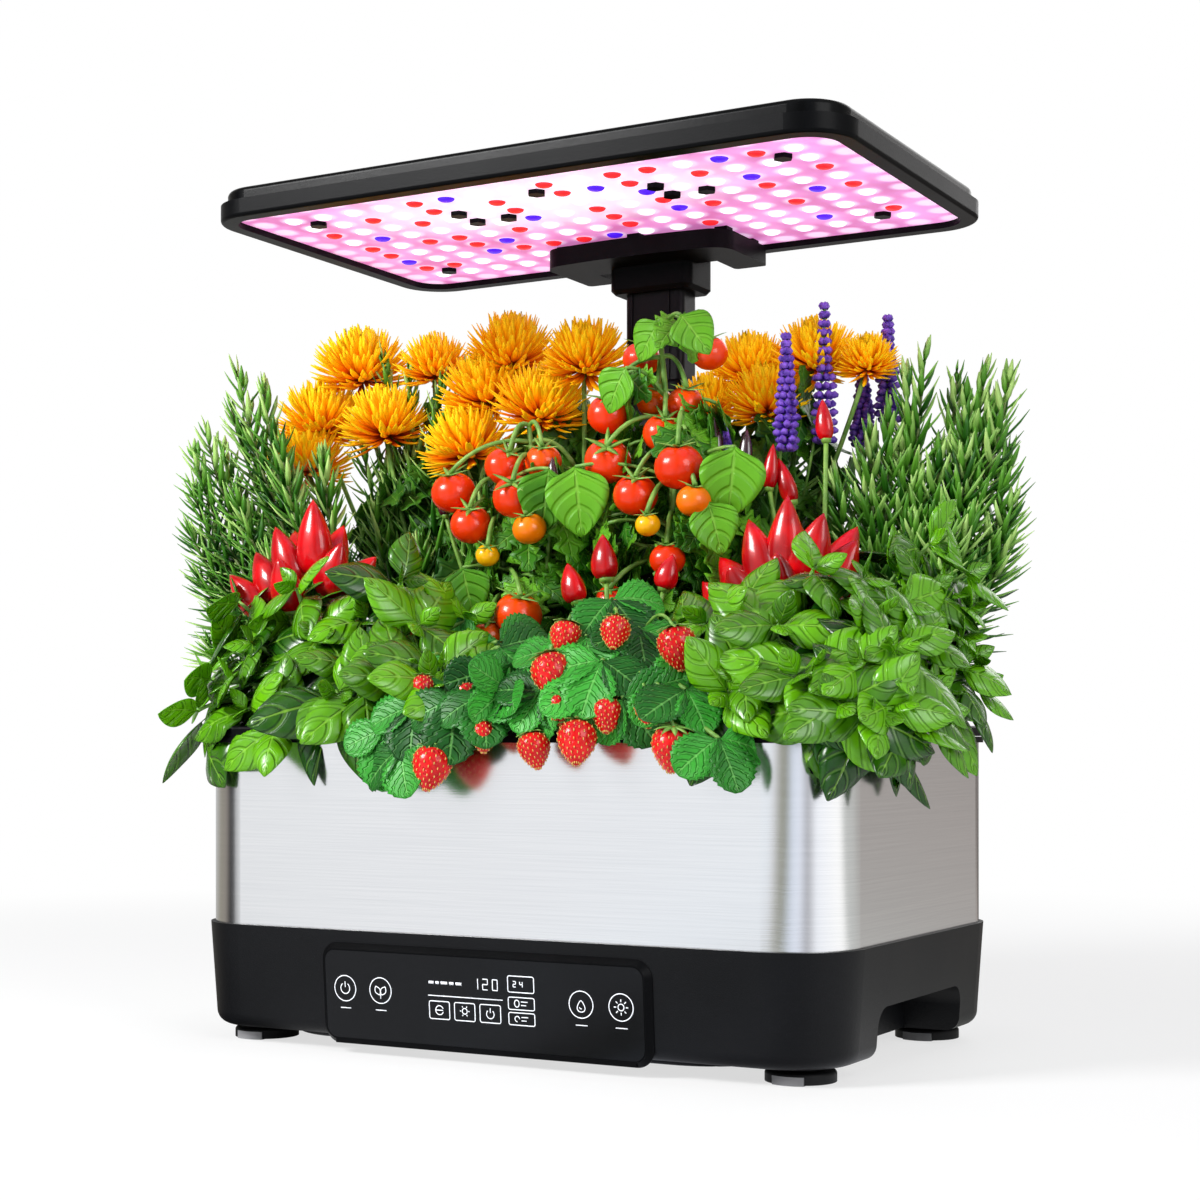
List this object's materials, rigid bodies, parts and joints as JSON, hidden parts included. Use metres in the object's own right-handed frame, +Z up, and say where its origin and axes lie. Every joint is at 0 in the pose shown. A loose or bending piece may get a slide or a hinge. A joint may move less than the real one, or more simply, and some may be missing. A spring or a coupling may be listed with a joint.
{
  "type": "countertop hydroponic garden",
  "caption": "Planted indoor garden: steel-sleeved water tank on a black base with a touch panel, pods in a lift-off deck, and a grow lamp on a telescoping mast.",
  "frame": {"origin": "on the table, under the plan middle of the base", "axes": "+Z up, +Y towards the mast and the back, -Y out of the control panel, +X to the right seen from the front"},
  "size_m": [0.5015, 0.2721, 0.482],
  "materials": {
    "black_textured": "fine textured moulded plastic",
    "black_satin": "satin moulded plastic",
    "foot_rubber": "matte rubber",
    "grey_rubber": "grey rubber",
    "screw_steel": "plain steel",
    "panel_black": "smooth black touch face",
    "circuit_board": "green solder mask",
    "display_plastic": "white plastic",
    "stainless": "satin stainless steel",
    "pump_plastic": "black pump plastic",
    "impeller_plastic": "white plastic on a magnet",
    "mast_metal": "black painted aluminium",
    "led_board_white": "white board lit pink",
    "led_white": "lit white LED",
    "led_red": "lit red LED",
    "led_blue": "lit blue LED",
    "float_red": "red float",
    "cup_plastic": "black net cup",
    "leaf_green": "glossy leaves",
    "strawberry_leaf": "serrated leaves with red fruit",
    "rosemary_green": "needle leaves",
    "tomato_plant": "leaves with red and orange fruit",
    "mum_flower": "yellow and orange flowers on green leaves"
  },
  "bodies": {
    "base": {"base_housing": "black_textured", "bottom_cover": "black_textured", "base_screws": "screw_steel", "foot_cups": "foot_rubber", "foot_pads": "grey_rubber", "panel_bezel": "black_satin", "panel_glass": "panel_black", "touch_board": "circuit_board", "display_module": "display_plastic", "control_board": "circuit_board", "dc_jack": "black_satin", "steel_sleeve": "stainless", "water_tank": "black_satin", "pump_housing": "pump_plastic", "pump_cover": "pump_plastic", "pump_shaft": "screw_steel", "riser_pipe": "pump_plastic", "mast_outer": "mast_metal", "mast_bushing": "black_satin"},
    "impeller": {"pump_impeller": "impeller_plastic"},
    "lamp": {"mast_inner": "mast_metal", "mast_guide": "black_satin", "lamp_bracket": "black_satin", "lamp_frame": "black_satin", "lamp_hood": "black_satin", "led_board": "led_board_white", "led_white": "led_white", "led_red": "led_red", "led_blue": "led_blue", "lamp_screws": "black_satin", "led_driver": "display_plastic"},
    "deck": {"grow_deck": "black_satin", "lid_pin": "screw_steel"},
    "fill_lid": {"fill_lid": "black_satin"},
    "float": {"float_indicator": "float_red"},
    "pod_a1": {"net_cup_a1": "cup_plastic", "plant_basil_left": "leaf_green"},
    "pod_a2": {"net_cup_a2": "cup_plastic", "plant_strawberry_left": "strawberry_leaf"},
    "pod_a3": {"net_cup_a3": "cup_plastic", "plant_strawberry_right": "strawberry_leaf"},
    "pod_a4": {"net_cup_a4": "cup_plastic", "plant_basil_right": "leaf_green"},
    "pod_b1": {"net_cup_b1": "cup_plastic", "plant_rosemary_left": "rosemary_green"},
    "pod_b2": {"net_cup_b2": "cup_plastic", "plant_tomato_left": "tomato_plant"},
    "pod_b3": {"net_cup_b3": "cup_plastic", "plant_tomato_right": "tomato_plant"},
    "pod_b4": {"net_cup_b4": "cup_plastic", "plant_pepper_right": "leaf_green"},
    "pod_c1": {"net_cup_c1": "cup_plastic", "plant_mum_left": "mum_flower"},
    "pod_c2": {"net_cup_c2": "cup_plastic", "plant_mum_middle": "mum_flower"},
    "pod_c3": {"net_cup_c3": "cup_plastic", "plant_mum_right": "mum_flower"},
    "pod_c4": {"net_cup_c4": "cup_plastic", "plant_rosemary_right": "rosemary_green"}
  },
  "joints": [
    {"name": "lamp_height", "type": "slide", "parent": "base", "child": "lamp", "axis": [0, 0, 1], "range_m": [-0.02, 0.1]},
    {"name": "deck_lift", "type": "slide", "parent": "base", "child": "deck", "axis": [0, 0, 1], "range_m": [0, 0.025]},
    {"name": "fill_lid_hinge", "type": "hinge", "parent": "deck", "child": "fill_lid", "pos_m": [0.092, 0.116, 0.177], "axis": [-1, 0, 0], "range_deg": [0, 105]},
    {"name": "float_rise", "type": "slide", "parent": "deck", "child": "float", "axis": [0, 0, 1], "range_m": [0, 0.018]},
    {"name": "impeller_spin", "type": "hinge", "parent": "base", "child": "impeller", "pos_m": [-0.092, 0.08, 0.0796], "axis": [0, -1, 0], "continuous": true},
    {"name": "pod_a1_lift", "type": "slide", "parent": "deck", "child": "pod_a1", "axis": [0, 0, 1], "range_m": [0, 0.025]},
    {"name": "pod_a2_lift", "type": "slide", "parent": "deck", "child": "pod_a2", "axis": [0, 0, 1], "range_m": [0, 0.025]},
    {"name": "pod_a3_lift", "type": "slide", "parent": "deck", "child": "pod_a3", "axis": [0, 0, 1], "range_m": [0, 0.025]},
    {"name": "pod_a4_lift", "type": "slide", "parent": "deck", "child": "pod_a4", "axis": [0, 0, 1], "range_m": [0, 0.025]},
    {"name": "pod_b1_lift", "type": "slide", "parent": "deck", "child": "pod_b1", "axis": [0, 0, 1], "range_m": [0, 0.025]},
    {"name": "pod_b2_lift", "type": "slide", "parent": "deck", "child": "pod_b2", "axis": [0, 0, 1], "range_m": [0, 0.025]},
    {"name": "pod_b3_lift", "type": "slide", "parent": "deck", "child": "pod_b3", "axis": [0, 0, 1], "range_m": [0, 0.025]},
    {"name": "pod_b4_lift", "type": "slide", "parent": "deck", "child": "pod_b4", "axis": [0, 0, 1], "range_m": [0, 0.025]},
    {"name": "pod_c1_lift", "type": "slide", "parent": "deck", "child": "pod_c1", "axis": [0, 0, 1], "range_m": [0, 0.025]},
    {"name": "pod_c2_lift", "type": "slide", "parent": "deck", "child": "pod_c2", "axis": [0, 0, 1], "range_m": [0, 0.025]},
    {"name": "pod_c3_lift", "type": "slide", "parent": "deck", "child": "pod_c3", "axis": [0, 0, 1], "range_m": [0, 0.025]},
    {"name": "pod_c4_lift", "type": "slide", "parent": "deck", "child": "pod_c4", "axis": [0, 0, 1], "range_m": [0, 0.025]}
  ]
}
